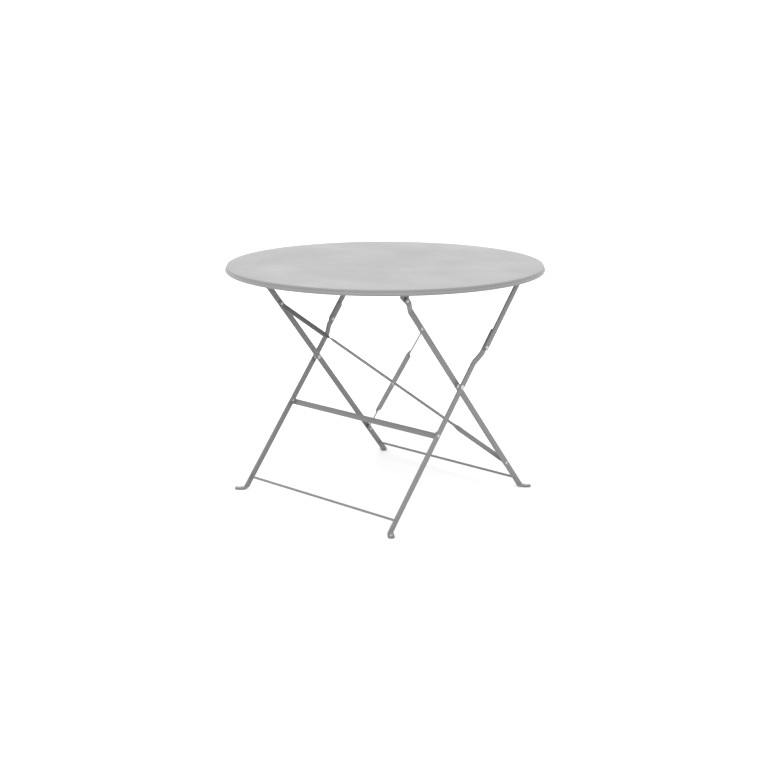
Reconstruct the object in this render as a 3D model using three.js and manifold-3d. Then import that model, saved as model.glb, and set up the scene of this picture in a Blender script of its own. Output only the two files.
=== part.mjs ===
// A round folding bistro table of painted steel. Two crossed frames of flat bar carry a pressed tabletop.
// Millimetres, +Z up. X runs left to right, Y from the outer frame's feet to the inner frame's feet.
// The origin is on the floor, under the middle of the top.

import * as THREE from 'three';
import { mergeVertices } from 'three/addons/utils/BufferGeometryUtils.js';
import Module from 'manifold-3d';

const wasm = await Module();
wasm.setup();

// ---- Overall sizes ----
const TOP_HEIGHT = 710;
const TOP_RADIUS = 480;
const FOOT_SHARE = 0.6458; // reach of the feet along Y as a share of the top's radius
const INNER_LEG_SHARE = 0.6104; // place of the inner legs along X as a share of the top's radius
const PIVOT_SHARE = 0.531; // height of the scissor pivots as a share of the table's height

// ---- Flat bar, strip and fits ----
const BAR_WIDTH = 18;
const BAR_THICKNESS = 5;
const STRIP_THICKNESS = 3;
const CLEARANCE = 0.3; // between pieces that touch
const SLIP = 0.5; // between a link and the leg it swings past

// ---- Tabletop ----
const SHEET = 1.2;
const RIM_DEPTH = 17;
const CORNER_RADIUS = 5;
const CURL_RADIUS = 4.2; // outside of the rolled edge
const WIRE_RADIUS = 2.6;
const FLANGE_INSET = 2; // how far the flange stands in from the rolled edge
const CURL_START = 57; // degrees round the curl, from where the flange runs into it
const CURL_END = -228;
const CURL_STEPS = 15;
const RIM_SEGMENTS = 72;

// ---- Rails and hinge brackets under the top ----
const RAIL_DEPTH = 14;
const RAIL_WALL = 1.5;
const RAIL_SHARE = 0.667; // half the rail's length as a share of the top's radius
const BRACKET_THICKNESS = 3;
const BRACKET_TOP_WIDTH = 45;
const BRACKET_NOSE_RADIUS = 8;
const BRACKET_HEEL = 9; // from the hinge up to where the outward side starts to taper
const TOP_HINGE_DROP = 46.4; // from the top's surface down to the inner legs' hinges
const LINK_HINGE_DROP = 27.8; // from the top's surface down to the links' hinges

// ---- Joggles: sideways bends in the legs, measured along the leg ----
const INNER_JOGGLE = 13.5;
const INNER_JOGGLE_START = 44; // below the top hinge
const INNER_JOGGLE_END = 12.5;
const OUTER_JOGGLE = 11.9;
const OUTER_JOGGLE_START = 56; // below the link's pivot
const OUTER_JOGGLE_END = 22;
const OUTER_LEG_TAIL = 62; // how far the outer leg runs on past the link's pivot

// ---- Feet ----
const TOE_LENGTH = 28;
const TOE_RIVET_AT = 15;
const TOE_BEND_RADIUS = 5.5; // to the middle of the bar's thickness
const GLIDE_THICKNESS = 1.2;
const GLIDE_MARGIN = 0.7;

// ---- Rods, cross bar and braces ----
const ROD_RADIUS = 3.75;
const ROD_SHARE = 0.906; // place on the lower leg, from pivot to floor
const CROSS_BAR_SHARE = 0.336;
const BRACE_TOP_SHARE = 0.68; // place on the upper leg, from pivot to top hinge
const BRACE_BOTTOM_SHARE = 0.752;
const BRACE_WIDTH = 15;
const BRACE_TAB = 22;
const TWIST_START = 150; // from a brace's bend to where it starts to twist
const TWIST_LENGTH = 40;
const TAB_BEND_RADIUS = 5;

// ---- Rivets ----
const SPACER_LENGTH = 10;
const SPACER_RADIUS = 8;
const PIVOT_RIVET = { shank: 4, head: 7, dome: 3.5 };
const HINGE_RIVET = { shank: 3, head: 5.5, dome: 3 };
const SMALL_RIVET = { shank: 2.2, head: 4.5, dome: 2 };
const ROD_END = { shank: 2.5, head: 4.5, dome: 2 };
const ROUND_SEGMENTS = 16;
const DOME_STEPS = 3;

// ---- Derived sizes ----
const FOOT_REACH = TOP_RADIUS * FOOT_SHARE; // from the table's centre line to each pair of feet
const INNER_X = TOP_RADIUS * INNER_LEG_SHARE; // middle of an inner leg's thickness
const PIVOT_HEIGHT = TOP_HEIGHT * PIVOT_SHARE;
const LEAN = Math.atan2(FOOT_REACH, PIVOT_HEIGHT); // leg's angle from upright
const LOWER_LEG = PIVOT_HEIGHT / Math.cos(LEAN);
const UPPER_LEG = (TOP_HEIGHT - TOP_HINGE_DROP - PIVOT_HEIGHT) / Math.cos(LEAN);
const LINK_HINGE_REACH = (TOP_HEIGHT - LINK_HINGE_DROP - PIVOT_HEIGHT) / Math.cos(LEAN);
const LINK_PIVOT = linkPivotDistance(UPPER_LEG, LINK_HINGE_REACH, 2 * LEAN);
const LINK_LENGTH = LINK_HINGE_REACH - LINK_PIVOT;
const OUTER_X = INNER_X + BAR_THICKNESS + SPACER_LENGTH + 2 * CLEARANCE;
const LINK_X = OUTER_X + OUTER_JOGGLE + BAR_THICKNESS + SLIP;
const TOP_HINGE_X = INNER_X + INNER_JOGGLE;
const LEG_HALF = BAR_WIDTH / 2;
const LEG_FACE = BAR_THICKNESS / 2;
const TOE_LEVEL = GLIDE_THICKNESS + CLEARANCE + LEG_FACE;
const TOP_BRACKET_X = TOP_HINGE_X - LEG_FACE - CLEARANCE - BRACKET_THICKNESS / 2;
const LINK_BRACKET_X = LINK_X - LEG_FACE - CLEARANCE - BRACKET_THICKNESS / 2;
const RAIL_INSIDE_X = TOP_BRACKET_X + BRACKET_THICKNESS / 2 + CLEARANCE;
const RAIL_OUTSIDE_X = LINK_BRACKET_X - BRACKET_THICKNESS / 2 - CLEARANCE;

const SIDES = { left: -1, right: 1 };
const X_AXIS = new THREE.Vector3(1, 0, 0);
const Y_AXIS = new THREE.Vector3(0, 1, 0);
const Z_AXIS = new THREE.Vector3(0, 0, 1);

// Distance from the scissor pivot to the link's pivot. With it, the top folds flat along the legs
// and the link stands in line with the outer leg when the table is up.
function linkPivotDistance(innerArm, hingeReach, opening) {
  const sum = innerArm + hingeReach;
  const product = 2 * innerArm * hingeReach * (1 + Math.cos(opening));
  return (sum - Math.sqrt(sum * sum - product)) / 2;
}

// ---- Solids and booleans ----

function toManifold(geometry) {
  const plain = geometry.clone();
  plain.deleteAttribute('normal');
  plain.deleteAttribute('uv');
  const welded = mergeVertices(plain, 1e-4);
  const mesh = new wasm.Mesh({
    numProp: 3,
    vertProperties: new Float32Array(welded.attributes.position.array),
    triVerts: new Uint32Array(welded.index.array),
  });
  return new wasm.Manifold(mesh);
}

function toGeometry(manifold) {
  const mesh = manifold.getMesh();
  const geometry = new THREE.BufferGeometry();
  geometry.setAttribute('position', new THREE.BufferAttribute(mesh.vertProperties, 3));
  geometry.setIndex(new THREE.BufferAttribute(mesh.triVerts, 1));
  geometry.computeVertexNormals();
  return geometry;
}

// Cuts round holes, each given by its middle, its direction, its radius and its depth.
function drill(geometry, holes) {
  let solid = toManifold(geometry);
  for (const { at, along, radius, depth } of holes) {
    const cutter = new THREE.CylinderGeometry(radius, radius, depth, ROUND_SEGMENTS);
    cutter.applyQuaternion(new THREE.Quaternion().setFromUnitVectors(Y_AXIS, along));
    cutter.translate(at.x, at.y, at.z);
    solid = solid.subtract(toManifold(cutter));
  }
  return toGeometry(solid);
}

// A flat bar through a row of stations. A station has a centre, a half-width vector and the direction
// of the bar's thickness.
function stripGeometry(stations, thickness) {
  const positions = [];
  const corners = [[1, 1], [1, -1], [-1, -1], [-1, 1]];
  for (const { centre, across, normal } of stations) {
    for (const [edge, face] of corners) {
      const corner = centre.clone().addScaledVector(across, edge);
      corner.addScaledVector(normal, face * thickness / 2);
      positions.push(corner.x, corner.y, corner.z);
    }
  }
  const indices = [0, 1, 2, 0, 2, 3];
  for (let i = 0; i + 1 < stations.length; i++) {
    for (let k = 0; k < 4; k++) {
      const near = 4 * i + k;
      const beside = 4 * i + (k + 1) % 4;
      indices.push(near, near + 4, beside + 4, near, beside + 4, beside);
    }
  }
  const last = 4 * (stations.length - 1);
  indices.push(last, last + 2, last + 1, last, last + 3, last + 2);
  const geometry = new THREE.BufferGeometry();
  geometry.setAttribute('position', new THREE.Float32BufferAttribute(positions, 3));
  geometry.setIndex(facingOut(positions, indices));
  return geometry;
}

// Turns the triangles over if they enclose a negative volume.
function facingOut(positions, indices) {
  let volume = 0;
  for (let i = 0; i < indices.length; i += 3) {
    const [a, b, c] = [0, 1, 2].map((k) => new THREE.Vector3().fromArray(positions, 3 * indices[i + k]));
    volume += a.dot(b.cross(c));
  }
  return volume > 0 ? indices : indices.reverse();
}

// Stations that round off a bar's end, going out from the last full-width place.
function roundEnd(centre, outward, across, normal) {
  const radius = across.length();
  return [18, 36, 54, 70, 82].map((degrees) => {
    const angle = THREE.MathUtils.degToRad(degrees);
    return {
      centre: centre.clone().addScaledVector(outward, radius * Math.sin(angle)),
      across: across.clone().multiplyScalar(Math.cos(angle)),
      normal,
    };
  });
}

// Two-ended rivet along Z, its grip centred on the origin, with domed heads.
function rivetGeometry({ shank, head, dome }, grip, body = shank) {
  const half = grip / 2;
  const upper = domeProfile(head, dome).map(([radius, height]) => [radius, half + height]);
  const neck = body > shank ? [[body, half - BAR_THICKNESS - 2 * CLEARANCE]] : [];
  const shoulder = neck.map(([, height]) => [shank, height]);
  const side = [...upper, [shank, half], ...shoulder, ...neck];
  const mirrored = side.map(([radius, height]) => [radius, -height]).reverse();
  return lathe([...side, ...mirrored]);
}

// Headed stub along Z: the head stands above z = 0 and the shank reaches down to -length.
function stubGeometry({ shank, head, dome }, length) {
  return lathe([...domeProfile(head, dome), [shank, 0], [shank, -length], [0, -length]]);
}

function domeProfile(radius, height) {
  const points = [];
  for (let step = 0; step <= DOME_STEPS; step++) {
    const angle = (step / DOME_STEPS) * Math.PI / 2;
    points.push([radius * Math.sin(angle), height * (0.25 + 0.75 * Math.cos(angle))]);
  }
  points.push([radius, 0]);
  return points;
}

// Revolves a closed [radius, height] outline about Z.
function lathe(profile, segments = ROUND_SEGMENTS) {
  const points = [...profile, profile[0]].map(([radius, height]) => new THREE.Vector2(radius, height));
  const geometry = new THREE.LatheGeometry(points, segments);
  geometry.rotateX(Math.PI / 2);
  const welded = mergeVertices(withoutNormals(geometry), 1e-4);
  const kept = [];
  const index = welded.index.array;
  for (let i = 0; i < index.length; i += 3) {
    const [a, b, c] = [index[i], index[i + 1], index[i + 2]];
    if (a !== b && b !== c && c !== a) kept.push(a, b, c);
  }
  welded.setIndex(facingOut(welded.attributes.position.array, kept));
  return toGeometry(toManifold(welded));
}

function withoutNormals(geometry) {
  geometry.deleteAttribute('normal');
  geometry.deleteAttribute('uv');
  return geometry;
}

// A plate cut to an outline in the YZ plane, its thickness centred on x = 0.
function plateGeometry(shape, thickness) {
  const sizes = { depth: thickness, bevelEnabled: false, curveSegments: 8 };
  const geometry = new THREE.ExtrudeGeometry(shape, sizes);
  geometry.translate(0, 0, -thickness / 2);
  geometry.applyMatrix4(new THREE.Matrix4().makeBasis(Y_AXIS, Z_AXIS, X_AXIS));
  return toGeometry(toManifold(geometry));
}

// ---- Meshes ----

const PAINT = { color: 0xb8b8b8, roughness: 0.5, metalness: 0.1 };
const TOP_PAINT = { color: 0xc4c4c4, roughness: 0.42, metalness: 0.1 };
const RIVET_PAINT = { color: 0xbcbcbc, roughness: 0.4, metalness: 0.15 };
const PLASTIC = { color: 0xa8a8a8, roughness: 0.6, metalness: 0 };

function piece(name, geometry, finish) {
  const mesh = new THREE.Mesh(geometry, new THREE.MeshStandardMaterial(finish));
  mesh.name = name;
  return mesh;
}

// ---- Legs ----
// A frame is modelled upright about its pivots, with the legs along Z, and then leaned over.
// lean is +1 for the inner frame and -1 for the outer frame.

// Stations from the floor up, for one leg with a folded toe and one joggle.
function legStations(x, side, lean, joggle, top) {
  const across = new THREE.Vector3(0, LEG_HALF, 0);
  const outboard = new THREE.Vector3(side, 0, 0);
  const tilt = Math.atan2(joggle.offset, joggle.end - joggle.start);
  const halfTilt = new THREE.Vector3(side * Math.cos(tilt / 2), 0, -Math.sin(tilt / 2));
  const at = (offset, height) => new THREE.Vector3(side * (x + offset), 0, height);
  const full = at(joggle.offset, top - LEG_HALF);
  return [
    ...toeStations(x, side, lean),
    { centre: at(0, -LOWER_LEG + 4 * LEG_HALF), across, normal: outboard },
    { centre: at(0, joggle.start), across, normal: halfTilt },
    { centre: at(joggle.offset, joggle.end), across, normal: halfTilt },
    { centre: full, across, normal: outboard },
    ...roundEnd(full, Z_AXIS, across, outboard),
  ];
}

// The toe is the leg's own end, folded outboard about a line along the floor.
function toeStations(x, side, lean) {
  const floorPoint = new THREE.Vector3(side * x, 0, -LOWER_LEG);
  const slope = Math.tan(LEAN);
  const bendStart = TOE_LEVEL + TOE_BEND_RADIUS;
  const foldAcross = new THREE.Vector3(0, LEG_HALF / Math.cos(LEAN), 0);
  const toeAlong = new THREE.Vector3(side * Math.cos(LEAN), lean * Math.sin(LEAN), 0);
  const toeAcross = new THREE.Vector3(-side * lean * Math.sin(LEAN), Math.cos(LEAN), 0);
  toeAcross.multiplyScalar(LEG_HALF);
  const bend = [0, 22.5, 45, 67.5, 90].map((degrees) => {
    const angle = THREE.MathUtils.degToRad(degrees);
    const run = lean * slope * (TOE_BEND_RADIUS * angle - bendStart);
    const sideways = side * TOE_BEND_RADIUS * (1 - Math.cos(angle));
    const height = TOE_LEVEL + TOE_BEND_RADIUS * (1 - Math.sin(angle));
    return {
      centre: new THREE.Vector3(sideways, run, height),
      across: foldAcross,
      normal: new THREE.Vector3(side * Math.cos(angle), 0, Math.sin(angle)),
    };
  });
  const fold = bend[bend.length - 1].centre;
  const full = fold.clone().addScaledVector(toeAlong, TOE_LENGTH - LEG_HALF);
  const squared = fold.clone().addScaledVector(toeAlong, LEG_HALF * slope + 1);
  const stations = [
    ...bend,
    { centre: squared, across: toeAcross, normal: Z_AXIS },
    { centre: full, across: toeAcross, normal: Z_AXIS },
    ...roundEnd(full, toeAlong, toeAcross, Z_AXIS),
  ].reverse();
  for (const station of stations) {
    const turn = (vector) => vector.clone().applyAxisAngle(X_AXIS, -lean * LEAN);
    station.centre = turn(station.centre).add(floorPoint);
    station.across = turn(station.across);
    station.normal = turn(station.normal);
  }
  return stations;
}

// The middle of the fold between leg and toe, level with the floor's axes, measured from the point
// where the leg's line meets the floor.
function foldPoint(side, lean) {
  const run = lean * Math.tan(LEAN) * (TOE_BEND_RADIUS * Math.PI / 2 - TOE_LEVEL - TOE_BEND_RADIUS);
  return new THREE.Vector3(side * TOE_BEND_RADIUS, run, 0);
}

function toePoint(side, lean, distance) {
  const along = new THREE.Vector3(side * Math.cos(LEAN), lean * Math.sin(LEAN), 0);
  return foldPoint(side, lean).addScaledVector(along, distance);
}

function legGeometry(x, side, lean, joggle, top, holes) {
  const stations = legStations(x, side, lean, joggle, top);
  const cuts = holes.map(({ height, radius, offset = 0 }) => ({
    at: new THREE.Vector3(side * (x + offset), 0, height),
    along: X_AXIS,
    radius,
    depth: 3 * BAR_THICKNESS,
  }));
  const toeHole = toePoint(side, lean, TOE_RIVET_AT);
  toeHole.z = TOE_LEVEL;
  toeHole.applyAxisAngle(X_AXIS, -lean * LEAN).add(new THREE.Vector3(side * x, 0, -LOWER_LEG));
  cuts.push({
    at: toeHole,
    along: Z_AXIS.clone().applyAxisAngle(X_AXIS, -lean * LEAN),
    radius: SMALL_RIVET.shank + CLEARANCE,
    depth: 3 * BAR_THICKNESS,
  });
  return drill(stripGeometry(stations, BAR_THICKNESS), cuts);
}

// Plastic glide and its rivet, in a group whose axes are level with the floor.
function footGroup(prefix, sideName, x, lean) {
  const side = SIDES[sideName];
  const foot = new THREE.Group();
  foot.position.set(side * x, 0, -LOWER_LEG);
  foot.rotation.x = -lean * LEAN;
  const rivetAt = toePoint(side, lean, TOE_RIVET_AT);

  const half = LEG_HALF + GLIDE_MARGIN;
  const start = toePoint(side, lean, LEG_HALF * 0.4);
  const end = toePoint(side, lean, TOE_LENGTH - LEG_HALF);
  const turn = Math.atan2(end.y - start.y, end.x - start.x);
  const outline = new THREE.Shape();
  outline.moveTo(0, -half);
  outline.lineTo(start.distanceTo(end), -half);
  outline.absarc(start.distanceTo(end), 0, half, -Math.PI / 2, Math.PI / 2);
  outline.lineTo(0, half);
  const glide = new THREE.ExtrudeGeometry(outline, { depth: GLIDE_THICKNESS, bevelEnabled: false });
  glide.rotateZ(turn);
  glide.translate(start.x, start.y, 0);
  const rivetHole = { at: rivetAt, along: Z_AXIS, radius: SMALL_RIVET.shank + CLEARANCE, depth: BAR_WIDTH };
  foot.add(piece(`${prefix}_glide_${sideName}`, drill(glide, [rivetHole]), PLASTIC));

  const underHead = TOE_LEVEL + LEG_FACE + CLEARANCE;
  const rivet = stubGeometry(SMALL_RIVET, underHead - GLIDE_THICKNESS / 2);
  const toeRivet = piece(`${prefix}_toe_rivet_${sideName}`, rivet, RIVET_PAINT);
  toeRivet.position.set(rivetAt.x, rivetAt.y, underHead);
  foot.add(toeRivet);
  return foot;
}

// Round rod between a frame's legs, necked down through them and peened over outside.
function footRod(name, x) {
  const grip = 2 * (x + LEG_FACE + CLEARANCE);
  const rod = piece(name, rivetGeometry(ROD_END, grip, ROD_RADIUS), PAINT);
  rod.rotation.y = Math.PI / 2;
  rod.position.z = -LOWER_LEG * ROD_SHARE;
  return rod;
}

// A rivet across the legs, its heads just clear of the two faces that it grips.
function crossRivet(name, kind, side, insideFace, outsideFace, height) {
  const grip = outsideFace - insideFace + 2 * CLEARANCE;
  const rivet = piece(name, rivetGeometry(kind, grip), RIVET_PAINT);
  rivet.rotation.y = Math.PI / 2;
  rivet.position.set(side * (insideFace + outsideFace) / 2, 0, height);
  return rivet;
}

// ---- Braces ----
// Two crossed strips between the inner legs. Each lies flat in the frame between two quarter twists,
// and stands on edge towards its ends, which are bent to lie along the legs.

const BRACE_HALF = BRACE_WIDTH / 2;
const BRACE_X = INNER_X - LEG_FACE - CLEARANCE - STRIP_THICKNESS / 2;
const BRACE_TOP = UPPER_LEG * BRACE_TOP_SHARE;
const BRACE_BOTTOM = -LOWER_LEG * BRACE_BOTTOM_SHARE;
const BRACE_MIDDLE = (BRACE_TOP + BRACE_BOTTOM) / 2;

function braceStations(side, layer) {
  const upper = new THREE.Vector3(side * BRACE_X, 0, BRACE_TOP - BRACE_TAB / 2);
  const lower = new THREE.Vector3(-side * BRACE_X, 0, BRACE_BOTTOM + BRACE_TAB / 2);
  const along = lower.clone().sub(upper).normalize();
  const span = upper.distanceTo(lower);
  const onEdge = new THREE.Vector3(0, BRACE_HALF, 0);
  const flat = new THREE.Vector3().crossVectors(Y_AXIS, along).multiplyScalar(BRACE_HALF);
  const half = [
    ...braceEnd(upper, Z_AXIS, along, side),
    ...[0, 0.125, 0.25, 0.375, 0.5, 0.625, 0.75, 0.875, 1].map((share) => {
      const angle = share * Math.PI / 2;
      const across = onEdge.clone().multiplyScalar(Math.cos(angle)).addScaledVector(flat, Math.sin(angle));
      const centre = upper.clone().addScaledVector(along, TWIST_START + share * TWIST_LENGTH);
      centre.y = layer * share;
      return { centre, across, normal: new THREE.Vector3().crossVectors(across, along).normalize() };
    }),
  ];
  // The lower half is the upper half turned over end for end.
  const middle = upper.clone().addScaledVector(along, span / 2);
  const mirrored = half.map(({ centre, across, normal }) => ({
    centre: new THREE.Vector3(2 * middle.x - centre.x, centre.y, 2 * middle.z - centre.z),
    across: new THREE.Vector3(across.x, -across.y, across.z),
    normal: new THREE.Vector3(normal.x, -normal.y, normal.z),
  })).reverse();
  return [...half, ...mirrored.map(matchTo(half[half.length - 1]))];
}

// Keeps the half-width vectors pointing the same way round along the whole strip.
function matchTo(reference) {
  let previous = reference;
  return (station) => {
    const turned = station.across.dot(previous.across) < 0;
    const across = station.across.clone().multiplyScalar(turned ? -1 : 1);
    const flipped = station.normal.dot(previous.normal) < 0;
    const normal = station.normal.clone().multiplyScalar(flipped ? -1 : 1);
    previous = { centre: station.centre, across, normal };
    return previous;
  };
}

function braceEnd(bendPoint, tabAlong, along, side) {
  const across = new THREE.Vector3(0, BRACE_HALF, 0);
  const tabNormal = new THREE.Vector3(side, 0, 0);
  const stripNormal = new THREE.Vector3().crossVectors(across, along).normalize();
  const inStep = stripNormal.dot(tabNormal) < 0 ? -1 : 1;
  const full = bendPoint.clone().addScaledVector(tabAlong, BRACE_TAB - BRACE_HALF);
  const blend = (share) => {
    const normal = tabNormal.clone().lerp(stripNormal.clone().multiplyScalar(inStep), share).normalize();
    const before = bendPoint.clone().addScaledVector(tabAlong, TAB_BEND_RADIUS);
    const after = bendPoint.clone().addScaledVector(along, TAB_BEND_RADIUS);
    const straight = before.clone().lerp(after, share);
    const centre = straight.lerp(bendPoint, 2 * share * (1 - share));
    return { centre, across, normal };
  };
  const rounded = roundEnd(full, tabAlong, across, tabNormal).reverse();
  const stations = [...rounded, { centre: full, across, normal: tabNormal }, blend(0), blend(0.5), blend(1)];
  return stations.map((station) => ({
    centre: station.centre,
    across: station.across,
    normal: station.normal.clone().multiplyScalar(inStep),
  }));
}

function braceGeometry(side, layer) {
  const radius = SMALL_RIVET.shank + CLEARANCE;
  const depth = BAR_WIDTH;
  return drill(stripGeometry(braceStations(side, layer), STRIP_THICKNESS), [
    { at: new THREE.Vector3(side * BRACE_X, 0, BRACE_TOP), along: X_AXIS, radius, depth },
    { at: new THREE.Vector3(-side * BRACE_X, 0, BRACE_BOTTOM), along: X_AXIS, radius, depth },
    { at: new THREE.Vector3(0, 0, BRACE_MIDDLE), along: Y_AXIS, radius, depth },
  ]);
}

// ---- Inner frame ----

function innerFrame() {
  const frame = new THREE.Group();
  frame.name = 'inner_frame';
  frame.position.z = PIVOT_HEIGHT;
  frame.rotation.x = LEAN;
  const joggle = {
    offset: INNER_JOGGLE,
    start: UPPER_LEG - INNER_JOGGLE_START,
    end: UPPER_LEG - INNER_JOGGLE_END,
  };
  const small = SMALL_RIVET.shank + CLEARANCE;
  for (const [sideName, side] of Object.entries(SIDES)) {
    const holes = [
      { height: 0, radius: PIVOT_RIVET.shank + CLEARANCE },
      { height: UPPER_LEG, radius: HINGE_RIVET.shank + CLEARANCE, offset: INNER_JOGGLE },
      { height: BRACE_TOP, radius: small },
      { height: BRACE_BOTTOM, radius: small },
      { height: -LOWER_LEG * ROD_SHARE, radius: ROD_END.shank + CLEARANCE },
    ];
    const leg = legGeometry(INNER_X, side, 1, joggle, UPPER_LEG + LEG_HALF, holes);
    frame.add(piece(`inner_leg_${sideName}`, leg, PAINT));
    frame.add(footGroup('inner', sideName, INNER_X, 1));

    const inboard = INNER_X - LEG_FACE;
    const pivotOutside = OUTER_X + LEG_FACE;
    frame.add(crossRivet(`scissor_rivet_${sideName}`, PIVOT_RIVET, side, inboard, pivotOutside, 0));
    const spacer = piece(`scissor_spacer_${sideName}`, spacerGeometry(), RIVET_PAINT);
    spacer.rotation.y = Math.PI / 2;
    spacer.position.x = side * (INNER_X + OUTER_X) / 2;
    frame.add(spacer);

    const tabFace = BRACE_X - STRIP_THICKNESS / 2;
    const legFace = INNER_X + LEG_FACE;
    const topName = `brace_rivet_top_${sideName}`;
    const bottomName = `brace_rivet_bottom_${sideName}`;
    frame.add(crossRivet(topName, SMALL_RIVET, side, tabFace, legFace, BRACE_TOP));
    frame.add(crossRivet(bottomName, SMALL_RIVET, side, tabFace, legFace, BRACE_BOTTOM));
  }
  const layer = (STRIP_THICKNESS + CLEARANCE) / 2;
  frame.add(piece('brace_back', braceGeometry(SIDES.left, layer), PAINT));
  frame.add(piece('brace_front', braceGeometry(SIDES.right, -layer), PAINT));
  const centreGrip = 2 * STRIP_THICKNESS + 3 * CLEARANCE;
  const centreRivet = piece('brace_rivet_centre', rivetGeometry(SMALL_RIVET, centreGrip), RIVET_PAINT);
  centreRivet.rotation.x = Math.PI / 2;
  centreRivet.position.z = BRACE_MIDDLE;
  frame.add(centreRivet);
  frame.add(footRod('inner_foot_rod', INNER_X));
  return frame;
}

function spacerGeometry() {
  const half = SPACER_LENGTH / 2;
  const bore = PIVOT_RIVET.shank + CLEARANCE;
  return lathe([[bore, -half], [SPACER_RADIUS, -half], [SPACER_RADIUS, half], [bore, half]]);
}

// ---- Outer frame ----

// Flat bar between the outer legs, on their under edge, with its ends folded up along their inner faces.
function crossBarGeometry() {
  const tabX = OUTER_X - LEG_FACE - CLEARANCE - STRIP_THICKNESS / 2;
  const bend = STRIP_THICKNESS;
  const barY = LEG_HALF - STRIP_THICKNESS / 2;
  const across = new THREE.Vector3(0, 0, LEG_HALF);
  const end = [{
    centre: new THREE.Vector3(tabX, -LEG_HALF, 0),
    across,
    normal: X_AXIS.clone(),
  }];
  for (const degrees of [0, 30, 60, 90]) {
    const angle = THREE.MathUtils.degToRad(degrees);
    end.push({
      centre: new THREE.Vector3(
        tabX - bend * (1 - Math.cos(angle)),
        barY - bend * (1 - Math.sin(angle)),
        0,
      ),
      across,
      normal: new THREE.Vector3(Math.cos(angle), Math.sin(angle), 0),
    });
  }
  const other = end.map(({ centre, normal }) => ({
    centre: new THREE.Vector3(-centre.x, centre.y, centre.z),
    across,
    normal: new THREE.Vector3(-normal.x, normal.y, normal.z),
  })).reverse();
  const holes = Object.values(SIDES).map((side) => ({
    at: new THREE.Vector3(side * tabX, 0, 0),
    along: X_AXIS,
    radius: SMALL_RIVET.shank + CLEARANCE,
    depth: BAR_WIDTH,
  }));
  return drill(stripGeometry([...end, ...other], STRIP_THICKNESS), holes);
}

function outerFrame() {
  const frame = new THREE.Group();
  frame.name = 'outer_frame';
  frame.position.z = PIVOT_HEIGHT;
  frame.rotation.x = -LEAN;
  const crossBarAt = -LOWER_LEG * CROSS_BAR_SHARE;
  const joggle = {
    offset: OUTER_JOGGLE,
    start: LINK_PIVOT - OUTER_JOGGLE_START,
    end: LINK_PIVOT - OUTER_JOGGLE_END,
  };
  for (const [sideName, side] of Object.entries(SIDES)) {
    const holes = [
      { height: 0, radius: PIVOT_RIVET.shank + CLEARANCE },
      { height: LINK_PIVOT, radius: HINGE_RIVET.shank + CLEARANCE, offset: OUTER_JOGGLE },
      { height: crossBarAt, radius: SMALL_RIVET.shank + CLEARANCE },
      { height: -LOWER_LEG * ROD_SHARE, radius: ROD_END.shank + CLEARANCE },
    ];
    const leg = legGeometry(OUTER_X, side, -1, joggle, LINK_PIVOT + OUTER_LEG_TAIL, holes);
    frame.add(piece(`outer_leg_${sideName}`, leg, PAINT));
    frame.add(footGroup('outer', sideName, OUTER_X, -1));

    const tabFace = OUTER_X - LEG_FACE - CLEARANCE - STRIP_THICKNESS;
    const legFace = OUTER_X + LEG_FACE;
    const barRivet = `cross_bar_rivet_${sideName}`;
    frame.add(crossRivet(barRivet, SMALL_RIVET, side, tabFace, legFace, crossBarAt));

    const tail = stubGeometry(HINGE_RIVET, BAR_THICKNESS + CLEARANCE);
    const tailRivet = piece(`link_rivet_tail_${sideName}`, tail, RIVET_PAINT);
    tailRivet.rotation.y = -side * Math.PI / 2;
    tailRivet.position.set(side * (OUTER_X + OUTER_JOGGLE - LEG_FACE - CLEARANCE), 0, LINK_PIVOT);
    frame.add(tailRivet);
  }
  const crossBar = piece('outer_cross_bar', crossBarGeometry(), PAINT);
  crossBar.position.z = crossBarAt;
  frame.add(crossBar);
  frame.add(footRod('outer_foot_rod', OUTER_X));
  return frame;
}

// ---- Links: bars from the outer legs to the tabletop ----

function linkGroup(sideName) {
  const side = SIDES[sideName];
  const group = new THREE.Group();
  group.position.z = PIVOT_HEIGHT;
  group.rotation.x = -LEAN;
  const across = new THREE.Vector3(0, LEG_HALF, 0);
  const low = new THREE.Vector3(side * LINK_X, 0, LINK_PIVOT);
  const high = new THREE.Vector3(side * LINK_X, 0, LINK_PIVOT + LINK_LENGTH);
  const down = Z_AXIS.clone().negate();
  const stations = [
    ...roundEnd(low, down, across, X_AXIS).reverse(),
    { centre: low, across, normal: X_AXIS },
    { centre: high, across, normal: X_AXIS },
    ...roundEnd(high, Z_AXIS, across, X_AXIS),
  ];
  const radius = HINGE_RIVET.shank + CLEARANCE;
  const holes = [low, high].map((at) => ({ at, along: X_AXIS, radius, depth: BAR_WIDTH }));
  const bar = drill(stripGeometry(stations, BAR_THICKNESS), holes);
  group.add(piece(`link_${sideName}`, bar, PAINT));

  const head = stubGeometry(HINGE_RIVET, BAR_THICKNESS + CLEARANCE);
  const headRivet = piece(`link_rivet_head_${sideName}`, head, RIVET_PAINT);
  headRivet.rotation.y = side * Math.PI / 2;
  headRivet.position.set(side * (LINK_X + LEG_FACE + CLEARANCE), 0, LINK_PIVOT);
  group.add(headRivet);
  return group;
}

// ---- Tabletop ----

function arc(radius, height, size, fromDegrees, toDegrees, steps) {
  const points = [];
  for (let step = 0; step <= steps; step++) {
    const degrees = fromDegrees + (toDegrees - fromDegrees) * step / steps;
    const angle = THREE.MathUtils.degToRad(degrees);
    points.push([radius + size * Math.cos(angle), height + size * Math.sin(angle)]);
  }
  return points;
}

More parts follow.
